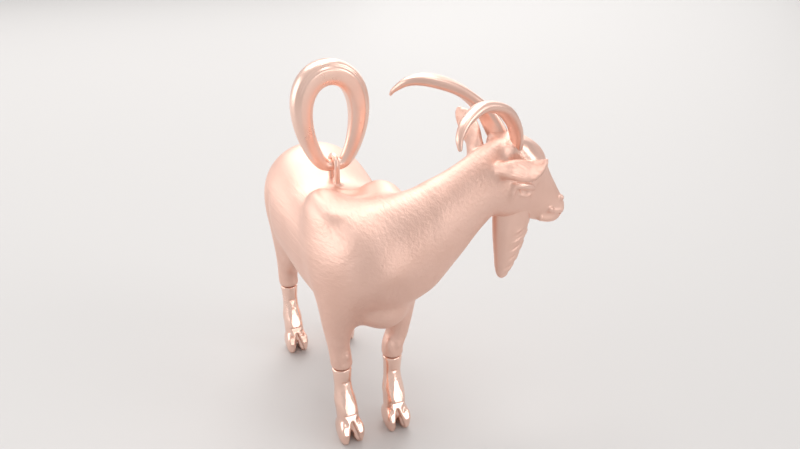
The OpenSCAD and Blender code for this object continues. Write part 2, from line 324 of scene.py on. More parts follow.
# ---------------------------------------------------------------- Blender objects
def make_object(name, pts, faces, body="goat", stands_for=(), material=None, sharp=None):
    pts = (np.asarray(pts, float) + PLACE) * MM
    faces = np.asarray(faces)
    # outward faces: the signed volume of the closed mesh is positive
    tri = np.concatenate([faces[:, [0, 1, 2]], faces[:, [0, 2, 3]]]) if faces.shape[1] == 4 else faces
    p0 = pts.mean(0)
    vol = np.einsum("ij,ij->i", pts[tri[:, 0]] - p0, np.cross(pts[tri[:, 1]] - p0, pts[tri[:, 2]] - p0)).sum()
    if vol < 0:
        faces = faces[:, ::-1]
    me = bpy.data.meshes.new(name)
    me.vertices.add(len(pts))
    me.vertices.foreach_set("co", pts.astype(np.float32).ravel())
    me.loops.add(faces.size)
    me.loops.foreach_set("vertex_index", faces.astype(np.int32).ravel())
    me.polygons.add(len(faces))
    me.polygons.foreach_set("loop_start", (np.arange(len(faces)) * faces.shape[1]).astype(np.int32))
    me.polygons.foreach_set("use_smooth", np.ones(len(faces), bool))
    me.update(calc_edges=True)
    me.validate()
    if sharp is not None:
        me.set_sharp_from_angle(angle=math.radians(sharp))
    ob = bpy.data.objects.new(name, me)
    bpy.context.scene.collection.objects.link(ob)
    if material:
        me.materials.append(material)
    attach(ob, body)
    if stands_for:
        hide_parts(*stands_for)
    return ob


def capped(pts):
    """Points and quads of an open sweep closed by fans, with each fan's triangles paired into quads."""
    k, m = pts.shape[:2]
    v = np.concatenate([pts.reshape(-1, 3), [pts[0].mean(0), pts[-1].mean(0)]])
    j = np.arange(0, m, 2)
    a = np.stack([np.full(len(j), k * m), (j + 2) % m, j + 1, j], -1)
    b = np.stack([np.full(len(j), k * m + 1), (k - 1) * m + j, (k - 1) * m + j + 1, (k - 1) * m + (j + 2) % m], -1)
    return v, np.concatenate([ring_faces(k, m), a, b])


# ---------------------------------------------------------------- materials
def node(nt, kind, x=0, y=0, **inputs):
    n = nt.nodes.new(kind)
    n.location = (x, y)
    for k, v in inputs.items():
        n.inputs[k.replace("_", " ")].default_value = v
    return n


def rose_gold(name, base, rough, strands, strand_depth, seed, polish=()):
    """Rose gold plate. strands: list of (direction of the lines, box lo, box hi) in design mm; lines are fine brushed
    grooves that run along the direction. Colour varies a little, and the plate is darker where it is rougher."""
    m = bpy.data.materials.new(name)
    m.use_nodes = True
    nt = m.node_tree
    nt.nodes.clear()
    out = node(nt, "ShaderNodeOutputMaterial", 900, 0)
    bsdf = node(nt, "ShaderNodeBsdfPrincipled", 600, 0)
    bsdf.inputs["Metallic"].default_value = 1.0
    nt.links.new(bsdf.outputs[0], out.inputs[0])
    geo = node(nt, "ShaderNodeTexCoord", -1400, 0)
    L = nt.links.new

    # cloudy change of colour and polish, about 4 mm across
    cloud = node(nt, "ShaderNodeTexNoise", -700, 300, Scale=260.0, Detail=3.0, Roughness=0.55)
    shift = node(nt, "ShaderNodeMapping", -1000, 300)
    shift.inputs["Location"].default_value = (seed * 0.01, seed * 0.017, seed * 0.013)
    L(geo.outputs["Object"], shift.inputs[0])
    L(shift.outputs[0], cloud.inputs["Vector"])
    ramp = node(nt, "ShaderNodeValToRGB", -400, 300)
    ramp.color_ramp.elements[0].position, ramp.color_ramp.elements[1].position = 0.32, 0.70
    dark = [c * d for c, d in zip(base, (0.965, 0.925, 0.905))]
    ramp.color_ramp.elements[0].color = (*dark, 1)
    ramp.color_ramp.elements[1].color = (*base, 1)
    L(cloud.outputs["Fac"], ramp.inputs[0])
    L(ramp.outputs[0], bsdf.inputs["Base Color"])

    # fine grain of the plate
    grain = node(nt, "ShaderNodeTexNoise", -700, 0, Scale=2600.0, Detail=2.0, Roughness=0.6)
    L(shift.outputs[0], grain.inputs["Vector"])
    rmix = node(nt, "ShaderNodeMapRange", -400, 60)
    rmix.inputs["From Min"].default_value, rmix.inputs["From Max"].default_value = 0.3, 0.7
    rmix.inputs["To Min"].default_value, rmix.inputs["To Max"].default_value = rough - 0.045, rough + 0.055
    L(cloud.outputs["Fac"], rmix.inputs["Value"])
    radd = node(nt, "ShaderNodeMath", -150, 60)
    radd.operation = "MULTIPLY_ADD"
    radd.inputs[1].default_value = 0.08
    L(grain.outputs["Fac"], radd.inputs[0])
    L(rmix.outputs[0], radd.inputs[2])
    r_out = radd.outputs[0]
    # places rubbed to a polish: (centre in design mm, radius in mm, roughness there)
    for i, (c, rad, pr) in enumerate(polish):
        vd = node(nt, "ShaderNodeVectorMath", -700, 700 + 220 * i)
        vd.operation = "DISTANCE"
        L(geo.outputs["Object"], vd.inputs[0])
        vd.inputs[1].default_value = tuple((np.array(c, float) + PLACE) * MM)
        mr = node(nt, "ShaderNodeMapRange", -400, 700 + 220 * i)
        mr.interpolation_type = "SMOOTHSTEP"
        mr.inputs["From Min"].default_value, mr.inputs["From Max"].default_value = rad * 0.45 * MM, rad * 1.1 * MM
        mr.inputs["To Min"].default_value, mr.inputs["To Max"].default_value = 1.0, 0.0
        L(vd.outputs["Value"], mr.inputs["Value"])
        mx = node(nt, "ShaderNodeMix", -150, 700 + 220 * i)
        mx.data_type = "FLOAT"
        mx.inputs[3].default_value = pr
        L(mr.outputs[0], mx.inputs[0])
        L(r_out, mx.inputs[2])
        r_out = mx.outputs[0]
    L(r_out, bsdf.inputs["Roughness"])

    height = None
    for i, (direction, lo, hi, pitch) in enumerate(strands):
        d = Vector(direction).normalized()
        rot = d.rotation_difference(Vector((1, 0, 0))).to_euler()
        mp = node(nt, "ShaderNodeMapping", -1100, -300 - 260 * i)
        mp.vector_type = "POINT"
        mp.inputs["Rotation"].default_value = rot
        mp.inputs["Scale"].default_value = (0.03 / pitch * 1000, 1.0 / pitch * 1000, 1.0 / pitch * 1000)
        L(geo.outputs["Object"], mp.inputs[0])
        tex = node(nt, "ShaderNodeTexNoise", -850, -300 - 260 * i, Scale=1.0, Detail=3.0, Roughness=0.6, Distortion=0.15)
        L(mp.outputs[0], tex.inputs["Vector"])
        # soft box mask
        mask = None
        for ax in range(3):
            if lo[ax] is None and hi[ax] is None:
                continue
            if mask is None:
                sep = node(nt, "ShaderNodeSeparateXYZ", -1100, -450 - 260 * i)
                L(geo.outputs["Object"], sep.inputs[0])
            for edge, sign in ((lo[ax], 1), (hi[ax], -1)):
                if edge is None:
                    continue
                e = (edge + PLACE[ax]) * MM
                mr = node(nt, "ShaderNodeMapRange", -850, -450 - 260 * i)
                mr.interpolation_type = "SMOOTHSTEP"
                mr.inputs["From Min"].default_value = e - sign * 0.0016
                mr.inputs["From Max"].default_value = e + sign * 0.0016
                L(sep.outputs[ax], mr.inputs["Value"])
                if mask is None:
                    mask = mr.outputs[0]
                else:
                    mu = node(nt, "ShaderNodeMath", -600, -450 - 260 * i)
                    mu.operation = "MULTIPLY"
                    L(mask, mu.inputs[0])
                    L(mr.outputs[0], mu.inputs[1])
                    mask = mu.outputs[0]
        h = tex.outputs["Fac"]
        if mask is not None:
            sub = node(nt, "ShaderNodeMath", -600, -300 - 260 * i)
            sub.operation = "MULTIPLY"
            L(h, sub.inputs[0])
            L(mask, sub.inputs[1])
            h = sub.outputs[0]
        if height is None:
            height = h
        else:
            ad = node(nt, "ShaderNodeMath", -400, -300 - 260 * i)
            ad.operation = "ADD"
            L(height, ad.inputs[0])
            L(h, ad.inputs[1])
            height = ad.outputs[0]
    bump = node(nt, "ShaderNodeBump", 300, -300)
    bump.inputs["Strength"].default_value = 1.0
    bump.inputs["Distance"].default_value = strand_depth * MM
    last = node(nt, "ShaderNodeMath", 0, -300)
    last.operation = "MULTIPLY_ADD"
    last.inputs[1].default_value = 0.05
    L(grain.outputs["Fac"], last.inputs[0])
    if height is not None:
        L(height, last.inputs[2])
    L(last.outputs[0], bump.inputs["Height"])
    L(bump.outputs[0], bsdf.inputs["Normal"])
    return m


ROSE = (0.86, 0.60, 0.51)
# lighter copy of the same rose gold: painted brightness that stands in for the brighter reflections of the polished
# legs and bail
ROSE_PAINTED_BRIGHTER = (0.97, 0.70, 0.60)
N = None
mat_body = rose_gold("rose_gold_body", ROSE, 0.45, [
    ((1, 0.10, -0.02), (7.5, N, N), (N, 14.0, N), 0.42),
    ((0.25, 1, 0.02), (N, 9.0, N), (N, 17.0, N), 0.40),
    ((0.06, 0, 1), (N, N, 15.0), (7.5, N, 31.0), 0.45),
], 0.085, 1.0, polish=[((16.4, 17.2, 38.7), 2.0, 0.28), ((9.6, 17.1, 38.9), 2.0, 0.28), ((16.7, 17.1, 34.9), 1.1, 0.28), ((9.3, 16.6, 35.2), 1.1, 0.28)])
# legs and bail take the lighter copy of the gold, a painted brightening for their polished sheen
mat_leg = rose_gold("rose_gold_leg", ROSE_PAINTED_BRIGHTER, 0.19, [((0.03, 0, 1), (N, N, N), (N, N, N), 0.40)], 0.006, 2.0)
mat_horn = rose_gold("rose_gold_horn", ROSE, 0.30, [], 0.005, 3.0)
mat_beard = rose_gold("rose_gold_beard", ROSE, 0.40, [((0, 1, 0.22), (N, N, N), (N, N, 29.0), 0.45)], 0.02, 4.0)
mat_bail = rose_gold("rose_gold_bail", ROSE_PAINTED_BRIGHTER, 0.27, [], 0.004, 5.0)


# ---------------------------------------------------------------- casting
def hd(d, f, h):
    """Head frame: d to the goat's right, f forward, h up."""
    return [13 + d, f + 0.05 * d, h - 0.06 * d]


def hrow(d, f, h, a, b, c, e=2):
    return hd(d, f, h) + [a, b, c, e]


torso_rows = [
    [-17.3, 0, 27.2, 0.8, 0.8, 1.2, 2], [-16.8, 0, 27.2, 3.2, 3.2, 4.2, 2], [-15.3, 0, 27.2, 5.5, 5.4, 7.0, 2],
    [-12.8, 0, 27.0, 7.0, 6.9, 8.6, 2.1], [-10.0, 0, 26.6, 7.5, 7.1, 8.8, 2.2], [-6.5, 0, 26.0, 7.5, 6.6, 8.4, 2.35],
    [-2.0, 0, 25.4, 7.3, 5.9, 8.0, 2.5], [2.5, 0, 25.3, 7.1, 6.1, 8.2, 2.5], [6.5, 0, 25.4, 6.8, 6.8, 8.8, 2.3],
    [10.0, 0, 25.2, 6.3, 7.2, 9.2, 2.2], [12.6, 0.4, 24.4, 5.4, 6.6, 8.5, 2.1], [14.4, 0.8, 23.6, 3.9, 4.8, 6.2, 2],
    [15.3, 1.0, 23.0, 1.8, 2.2, 2.8, 2]]
neck_rows = [
    [7.6, -2.2, 24.4, 4.0, 5.6, 5.8, 2], [9.8, 0.6, 25.8, 5.2, 6.8, 7.2, 2.1], [11.6, 3.6, 27.4, 5.0, 6.4, 6.8, 2.1],
    [12.6, 6.8, 29.5, 4.3, 5.5, 5.4, 2.05], [13.0, 9.8, 31.7, 3.6, 4.6, 4.4, 2], [13.1, 12.6, 33.5, 3.2, 4.2, 3.8, 2],
    [13.0, 15.2, 34.8, 3.0, 4.2, 3.8, 2], [13.0, 16.4, 34.9, 2.4, 3.4, 3.2, 2]]


def head_at(s, t, b, w, e):
    c = (t + b) / 2
    return hrow(0, 16 + 0.83 * s + 0.56 * c, 34.5 - 0.56 * s + 0.83 * c, w, (t - b) / 2, (t - b) / 2, e)


head_rows = [
    head_at(-2.6, 2.2, -1.6, 1.2, 2), head_at(-2.2, 4.2, -3.2, 2.4, 2.3), head_at(-1.0, 5.5, -4.2, 3.1, 2.7),
    head_at(0.8, 5.8, -4.5, 3.25, 2.7), head_at(2.6, 5.2, -4.2, 2.9, 2.5), head_at(4.2, 4.4, -3.6, 2.3, 2.2),
    head_at(6.0, 3.5, -2.9, 1.75, 2.1), head_at(8.0, 2.6, -2.3, 1.5, 2.1), head_at(9.4, 2.0, -1.9, 1.35, 2.1),
    head_at(10.2, 1.5, -1.5, 1.15, 2.1), head_at(10.7, 0.7, -0.7, 0.6, 2)]
KNEE = {"fr": (9.4, -3.7, 10.7), "fl": (9.4, 3.3, 10.7), "rr": (-13.9, -4.1, 11.0), "rl": (-13.9, 4.1, 11.0)}


def thigh_rows(x, y, z, s):
    return [
        [x - 3.8, s * 3.2, 33.0, 1.0, 1.4, 1.4, 2], [x - 3.8, s * 3.3, 32.5, 2.1, 3.2, 3.0, 2],
        [x - 3.6, s * 3.5, 30.8, 2.9, 4.8, 4.4, 2], [x - 1.8, s * 3.9, 26.0, 2.9, 4.2, 4.0, 2],
        [x, s * 3.9, 21.0, 2.6, 3.2, 3.2, 2], [x + 0.1, s * 4.0, 17.4, 2.1, 2.3, 2.3, 2],
        [x, s * 4.0, 14.4, 1.45, 1.6, 1.6, 2], [x, s * (abs(y) + 0.1), 12.4, 1.38, 1.5, 1.45, 2],
        [x, y, z + 0.5, 1.38, 1.45, 1.45, 2], [x, y, z + 0.1, 1.28, 1.32, 1.32, 2], [x, y, z - 0.05, 0.9, 0.9, 0.9, 2]]


def haunch_rows(x, y, z, s):
    return [
        [x + 3.2, s * 3.2, 25.5, 3.4, 4.4, 4.2, 2], [x + 2.6, s * 3.6, 21.5, 3.2, 4.2, 3.6, 2],
        [x + 1.4, s * 3.9, 17.6, 2.3, 3.0, 2.6, 2], [x + 0.3, s * 4.1, 14.4, 1.6, 1.8, 1.7, 2],
        [x, s * (abs(y) + 0.05), 12.6, 1.45, 1.5, 1.5, 2], [x, y, z + 0.5, 1.42, 1.48, 1.48, 2],
        [x, y, z + 0.1, 1.3, 1.35, 1.35, 2], [x, y, z - 0.05, 0.9, 0.9, 0.9, 2]]


EAR_RIGHT = [
    [1.4, 13.9, 36.2, 0.9, 0.8], [2.2, 14.0, 36.5, 0.75, 0.75], [3.0, 14.2, 36.9, 0.65, 0.8], [4.6, 14.7, 37.4, 0.52, 1.2],
    [5.8, 15.1, 37.7, 0.44, 1.3], [7.0, 15.6, 38.1, 0.36, 1.15], [7.95, 15.9, 38.8, 0.28, 0.7], [8.4, 16.1, 39.6, 0.16, 0.25]]
EAR_LEFT = [
    [1.4, 13.8, 36.4, 0.9, 0.8], [2.2, 14.1, 37.1, 0.75, 0.8], [3.0, 14.3, 37.8, 0.65, 1.1], [4.4, 14.7, 38.5, 0.52, 1.4],
    [5.8, 14.9, 39.1, 0.44, 1.45], [7.0, 15.0, 39.8, 0.36, 1.25], [7.9, 14.9, 40.4, 0.28, 0.8], [8.3, 14.9, 40.9, 0.16, 0.25]]


def ear_rows(s):
    return [hrow(s * p[0], p[1], p[2], p[3], p[4], p[4]) for p in (EAR_RIGHT if s > 0 else EAR_LEFT)]


def both(fn):
    for s in (1, -1):
        fn(s)


def build_body():
    corners = warp(np.array([[x, y, z] for x in (-18.5, 22.5) for y in (-8.6, 26.5) for z in (10.2, 42.3)], float))
    G = Grid(np.minimum(corners.min(0), [-18.5, -8.6, 10.2]) - 0.6, corners.max(0) + 0.6, 0.32, 4.0, warped=True)
    G.loft(torso_rows, [0, 0, 1])
    G.loft(neck_rows, [0, 0, 1], k=1.6)
    for key, s in (("fr", -1), ("fl", 1)):
        G.loft(thigh_rows(*KNEE[key], s), [1, 0, 0], k=1.4)
    for key, s in (("rr", -1), ("rl", 1)):
        G.loft(haunch_rows(*KNEE[key], s), [1, 0, 0], k=1.2)
    x, y, z, s = G.axes()
    mask = np.clip((z - 14.5) / 3.5, 0, 1) * np.clip((15.5 - y) / 3.0, 0, 1) + 0 * x
    G.blur(8, mask.astype(np.float32))
    G.loft(head_rows, [0.06, 0, 1], k=1.2)
    G.up()
    G.blur(1)

    # trunk: groove between belly and haunch, armpit hollows, brisket
    for s in (1, -1):
        G.cut(tube([(-9.2, s * 7.9, 27.5), (-9.3, s * 8.2, 23.5), (-9.9, s * 7.9, 19.8), (-10.6, s * 6.6, 17.2)], [0.1, 0.28, 0.35, 0.2]), 2.2)
    G.cut(tube([(12.9, -2.3, 18.9), (12.6, -2.2, 17.6), (11.4, -2.0, 16.1)], [0.2, 0.42, 0.32]), 1.0)
    G.add(ellipsoid((10.3, 1.3, 19.4), (3.9, 3.3, 3.1)), 1.6)
    # valley along the spine between the shoulder blades, with one soft fold
    G.cut(tube([(-0.7, 0.0, 32.6), (2.2, 0.1, 32.25), (5.2, 0.3, 32.6), (8.3, 0.8, 33.2)], [0.3, 0.9, 0.95, 0.4]), 1.8)
    G.add(tube([(0.2, -0.7, 31.35), (1.5, 0.2, 31.3), (3.0, 1.1, 31.7)], [0.1, 0.30, 0.1]), 0.9)
    G.add(tube([(3.6, -0.9, 31.6), (4.9, 0.1, 31.5), (6.3, 1.2, 32.1)], [0.1, 0.28, 0.1]), 1.0)
    G.smooth((3.4, 0.2, 32.0), (6.4, 3.4, 2.4), 6)
    # solder at the feet of the eye ring
    for s in (1, -1):
        G.add(ellipsoid((-1.9 + s * 1.195, 0, 31.2), (0.58, 0.58, 0.42)), 0.7)
    # carpal and hock bumps, tendon ridges behind the knees
    for key in KNEE:
        kx, ky, kz = KNEE[key]
        o = -1 if ky > 0 else 1
        if key[0] == "f":
            b = 0.3
            G.add(ellipsoid((kx + 1.22, ky + b, kz + 2.05), (0.34, 0.3, 0.55)), 0.25)
            G.add(ellipsoid((kx + 0.8, ky - 0.7, kz + 1.9), (0.5, 0.5, 1.0)), 0.6)
            G.cut(tube([(kx + 1.62, ky - 0.16, kz + 3.4), (kx + 1.58, ky - 0.16, kz + 2.0), (kx + 1.5, ky - 0.16, kz + 0.9)], [0.06, 0.16, 0.08]), 0.35)
        else:
            G.add(ellipsoid((kx - 1.0, ky, kz + 1.7), (0.6, 0.55, 0.9)), 0.5)
            G.add(ellipsoid((kx + 0.95, ky + 0.35 * o, kz + 1.0), (0.4, 0.45, 0.7)), 0.4)

    # head
    fwd, up = vec(0, 0.83, -0.56), vec(0, 0.56, 0.83)
    for s in (1, -1):
        side = vec(s, 0.05 * s, -0.06 * s)
        A = [side, fwd, up]
        P = lambda d, f, h, s=s: hd(s * d, f, h)
        # crown round the horn's root, temple, cheek
        G.add(ellipsoid(P(1.7, 17.1, 38.1), (1.6, 1.8, 1.75), A), 1.0)
        G.add(ellipsoid(P(2.6, 17.9, 36.9), (1.5, 1.9, 1.7), A), 0.9)
        G.smooth(P(2.2, 19.6, 31.4), (2.2, 2.6, 2.6), 10)
        G.add(ellipsoid(P(2.05, 16.9, 38.3), (1.2, 1.6, 1.15), A), 1.2)
        G.smooth(P(2.6, 17.6, 38.0), (2.2, 2.4, 2.0), 14)
        # orbit: brow shelf with a limb turned down behind the eye, hollow, eyeball and lower lid
        G.add(tube([P(2.9, 15.5, 34.9), P(3.3, 16.2, 34.85), P(3.42, 17.2, 34.65), P(3.2, 18.3, 34.2), P(2.7, 19.3, 33.5)],
                   [0.22, 0.40, 0.42, 0.36, 0.15]), 0.35)
        G.add(tube([P(3.1, 15.9, 34.8), P(3.2, 15.6, 34.0), P(2.9, 15.6, 33.0)], [0.34, 0.36, 0.18]), 0.7)
        G.cut(ellipsoid(P(3.4, 17.3, 33.8), (0.62, 0.95, 0.40), A), 0.25)
        G.add(ellipsoid(P(2.66, 17.4, 33.7), (0.50, 0.62, 0.42), A), 0.06)
        G.add(tube([P(2.95, 16.5, 33.6), P(3.05, 17.2, 33.28), P(2.95, 18.0, 33.1), P(2.7, 18.7, 33.2)], [0.08, 0.15, 0.15, 0.08]), 0.4)
        # shallow hollow in front of the cheek
        G.cut(ellipsoid(P(2.6, 20.7, 32.8), (0.25, 1.3, 0.7), A), 1.4)
        # muzzle: nostril wing and hole, lips and mouth corner
        G.add(ellipsoid(P(0.9, 24.3, 31.05), (0.5, 0.5, 0.42), A), 0.25)
        G.cut(tube([P(1.2, 24.3, 30.55), P(1.2, 24.65, 30.35), P(0.95, 24.95, 30.3)], [0.06, 0.12, 0.1]), 0.2)
        G.add(tube([P(1.45, 22.3, 29.9), P(1.35, 23.3, 29.6), P(1.05, 24.4, 29.45), P(0.5, 24.9, 29.4)], [0.18, 0.26, 0.28, 0.25]), 0.5)
        G.cut(tube([P(1.62, 22.8, 29.05), P(1.45, 23.7, 28.95), P(0.9, 24.5, 28.95), P(0.0, 24.9, 29.0)],
                   [0.08, 0.09, 0.09, 0.09]), 0.2)
        G.add(ellipsoid(P(1.5, 22.55, 29.95), (0.40, 0.46, 0.40), A), 0.25)
        G.cut(ellipsoid(P(1.75, 22.95, 29.15), (0.26, 0.42, 0.18), A), 0.12)
        G.add(tube([P(0.95, 21.6, 28.8), P(0.85, 22.9, 28.5), P(0.4, 24.0, 28.45)], [0.45, 0.5, 0.42]), 0.6)
        # ear: stalk, leaf, hollow on its front, rolled tip
        G.loft(ear_rows(s), [0, 0.4, 1], k=0.9, m=48, n=10)
        G.add(tube([P(0.9, 12.4, 35.2), P(2.1, 13.5, 36.2), P(3.7, 14.4, 37.0)], [1.0, 0.85, 0.5]), 1.7)
        if s > 0:
            G.cut(ellipsoid(P(5.9, 15.65, 37.6), (1.7, 0.32, 0.65), [unit(vec(0.90, 0.34, 0.26)), unit(vec(-0.25, 0.88, -0.40)), vec(0, 0.41, 0.91)]), 0.25)
            G.add(tube([P(6.6, 15.75, 39.05), P(7.5, 16.05, 39.35), P(8.3, 16.15, 39.75)], [0.08, 0.17, 0.14]), 0.2)
        else:
            G.cut(ellipsoid(P(5.6, 15.35, 38.85), (1.8, 0.32, 0.8), [unit(vec(-0.92, 0.08, 0.38)), unit(vec(0.1, 0.92, -0.38)), vec(0, 0.38, 0.92)]), 0.25)
        # lip where the horn leaves the skull
        G.add(tube([P(1.2, 17.6, 39.4), P(2.1, 17.3, 39.4), P(2.9, 16.6, 39.2)], [0.2, 0.24, 0.16]), 0.5)
    # bridge of the nose and crown
    G.cut(tube([hd(0, 20.3, 38.5), hd(0, 21.9, 36.6), hd(0, 23.2, 34.6)], [0.1, 0.22, 0.1]), 0.9)
    G.cut(tube([hd(0, 25.1, 30.6), hd(0, 25.4, 29.9), hd(0, 25.2, 29.3)], [0.06, 0.12, 0.08]), 0.25)
    # seats of the lower legs
    for key in KNEE:
        kx, ky, kz = KNEE[key]
        G.cut(cylinder((kx, ky), 0.67, kz - 1, kz + 2.25), 0.0)
        G.edit((kx, ky, kz - 0.6), (3.2, 3.2, 0.9), lambda f, x, y, z, kz=kz: smax(f, (kz - z) + 0 * f, 0.55))
    pts, quads = G.mesh(5)
    print("body", len(pts), len(quads))
    return make_object("goat_body", pts, quads, stands_for=["body"], material=mat_body)


# ---------------------------------------------------------------- lower legs
def build_leg(name, cad, key, dy, fc, co):
    """dy: shift of the hoof to the side; fc: middle of the shin's flat front; co: shift of the cleft."""
    kx, ky, kz = KNEE[key]
    G = Grid((-3.6, -3.0, -0.4), (4.4, 3.2, kz + 2.8), 0.09, 0.9)
    dx, w = 0.9, 1.72
    G.loft([
        [0, 0, kz - 0.02, 1.22, 1.2, 1.2, 2], [0, dy * 0.02, kz - 0.3, 1.28, 1.26, 1.26, 2], [0, dy * 0.1, kz - 1.0, 1.2, 1.2, 1.2, 2],
        [-0.1, dy * 0.25, kz - 2.3, 1.15, 1.1, 1.12, 2], [-0.1, dy * 0.35, 7.7, 1.15, 1.22, 1.13, 2], [-0.08, dy * 0.4, 6.9, 1.22, 1.54, 1.15, 2],
        [0.05, dy * 0.6, 5.7, 1.40, 1.88, 1.4, 2], [0.35, dy * 0.8, 4.5, 1.38, 2.12, 1.6, 2.1], [0.5, dy * 0.95, 3.4, 1.40, 1.8, 1.6, 2.1],
        [0.6, dy, 2.2, 1.25, 1.3, 1.4, 2], [0.6, dy, 1.5, 0.7, 0.7, 0.7, 2]], [1, 0, 0], m=64, n=10)
    # flat front of the shin, a wedge that widens down to the coronet
    G.edit((1.6, 0, 5.6), (2.0, 2.6, 3.0), lambda f, x, y, z: smax(
        f, 0.94 * (x - 1.10) + 0.342 * (z - 7.8) - 0.12 * np.maximum(np.abs(y - fc) - 0.62 * np.clip((8.0 - z) / 3.6, 0, 1), 0), 0.03))
    # tendon groove down each side, dewclaws at the back
    for s in (1, -1):
        G.cut(tube([(0.25, s * 1.3, kz - 1.6), (0.15, s * 1.32 + dy * 0.4, kz - 4.0), (0.2, s * 1.5 + dy * 0.6, 5.2)], [0.06, 0.17, 0.08]), 0.4)
        G.add(ellipsoid((-1.3, dy * 0.8 + s * 0.6, 4.6), (0.36, 0.34, 0.6), [(0.9, 0, -0.45), (0, 1, 0), (0.45, 0, 0.9)]), 0.25)
    # two claws with steep fronts
    claws = Grid((-3.6, -3.0, -0.4), (4.4, 3.2, kz + 2.8), 0.09, 0.9)
    for q in (1, -1):
        claws.loft([
            [dx - 1.95, dy + q * w * 0.42, 1.0, 0.25, 0.5, 0.95, 2], [dx - 1.65, dy + q * w * 0.43, 1.15, 0.60, 1.1, 1.3, 2.1],
            [dx - 0.8, dy + q * w * 0.46, 1.3, 0.76, 1.5, 1.6, 2.2], [dx + 0.0, dy + q * w * 0.47, 1.4, 0.80, 1.9, 1.9, 2.2],
            [dx + 0.5, dy + q * w * 0.49, 1.4, 0.82, 1.9, 2.0, 2.2], [dx + 0.85, dy + q * w * 0.52, 1.2, 0.78, 1.7, 1.9, 2.2],
            [dx + 1.2, dy + q * w * 0.54, 0.85, 0.66, 1.2, 1.6, 2.2], [dx + 1.5, dy + q * w * 0.54, 0.55, 0.5, 0.6, 1.2, 2.1],
            [dx + 1.75, dy + q * w * 0.53, 0.35, 0.25, 0.3, 0.8, 2]], [0, 0, 1], m=56, n=8)
    G.a = smin(G.a, claws.a, 0.5)
    c = dy + co
    # triangular recess between the claws, its point upward, open below
    G.edit((dx + 1.3, c, 1.4), (2.2, 1.6, 2.2), lambda f, x, y, z: smax(
        f, np.minimum(0.62 * (x - dx - 0.35 + 0.55 * (z - 1.0) * 0.35), np.minimum(3.15 - z, 2.0)) * 0 +
        -(np.abs(y - c) - np.clip(0.12 + 0.30 * (3.3 - z), 0.04, 0.85)) * 0.95 + np.minimum(0, (x - (dx + 0.72 + 0.30 * (3.3 - z))) * 3.0) - np.maximum(z - 3.2, 0) * 3, 0.08))
    G.edit((dx + 0.6, c, 0.5), (2.4, 0.9, 1.3), lambda f, x, y, z: smax(
        f, 0.2 - np.abs(y - c) + np.minimum(0, (x - (dx - 1.0)) * 2) - np.maximum(z - 1.3, 0) * 1.2, 0.1))
    # bright beads that meet above the recess and run down its two sides, a knot at the outer one's head
    for q in (1, -1):
        G.add(tube([(dx + 0.98, c + q * 0.26, 3.8), (dx + 1.32, c + q * 0.50, 2.8), (dx + 1.72, c + q * 0.80, 1.6), (dx + 1.92, c + q * 0.98, 0.55)],
                   [0.28, 0.29, 0.27, 0.16]), 0.06)
    G.add(ellipsoid((dx + 0.95, c - 0.46, 3.45), (0.5, 0.42, 0.5)), 0.16)
    G.edit((dx + 1.6, c, 2.2), (1.0, 1.6, 2.0), lambda f, x, y, z: smax(f, 0.918 * (x - (dx + 1.17)) + 0.396 * (z - 3.8) + 0 * y, 0.03))
    # groove of the coronet
    G.cut(tube([(dx + 1.42, c + 0.95, 3.7), (dx + 1.5, c + 0.2, 4.12), (dx + 1.45, c - 0.6, 4.0), (dx + 0.9, c - 1.35, 3.5), (dx - 0.6, c - 1.7, 3.1)],
               [0.10, 0.13, 0.13, 0.12, 0.06]), 0.15)
    G.cut(tube([(dx + 1.42, c + 0.8, 3.75), (dx + 0.9, c + 1.4, 3.5), (dx - 0.6, c + 1.7, 3.1)], [0.10, 0.12, 0.06]), 0.15)
    G.blur(1)
    # flat sole and flat top at the knee seam, then the peg
    G.edit((0, 0, 0), (4.5, 3.2, 0.9), lambda f, x, y, z: smax(f, -z + 0 * f, 0.1))
    G.edit((0, 0, kz), (4.5, 3.2, 1.2), lambda f, x, y, z: smax(f, (z - kz) + 0 * f, 0.1))
    G.add(cylinder((0, 0), 0.65, kz - 1, kz + 2.2), 0.0)
    pts, quads = G.mesh(3)
    pts[:, 2] = np.maximum(pts[:, 2], 0.0)
    return make_object(name, pts + vec(kx, ky, 0), quads, stands_for=[cad], material=mat_leg)


# ---------------------------------------------------------------- horns, beard, tail
HD, HT = 3.1, 1.5
HORN_RIGHT = [
    [1.5, 16.8, 38.4, 0.40, 0.38], [2.1, 16.4, 39.8, 0.41, 0.47], [3.1, 15.2, 42.1, 0.41, 0.46], [4.5, 12.7, 44.5, 0.47, 0.42],
    [5.6, 9.6, 45.4, 0.46, 0.34], [6.9, 7.0, 44.7, 0.34, 0.24], [7.9, 5.6, 43.4, 0.24, 0.15], [8.4, 5.4, 42.1, 0.1, 0.07]]
HORN_LEFT = [
    [1.5, 16.7, 38.4, 0.42, 0.38], [2.1, 16.3, 39.8, 0.46, 0.47], [3.3, 15.1, 42.1, 0.50, 0.46], [4.7, 12.6, 44.3, 0.56, 0.42],
    [6.0, 9.6, 45.3, 0.53, 0.32], [7.1, 7.5, 45.1, 0.40, 0.22], [8.3, 6.2, 43.9, 0.22, 0.13], [8.7, 5.8, 43.1, 0.1, 0.07]]


def horn_line(s):
    return [hrow(s * p[0], p[1], p[2], p[3] * HT, p[4] * HD, p[4] * HD) for p in (HORN_RIGHT if s > 0 else HORN_LEFT)]


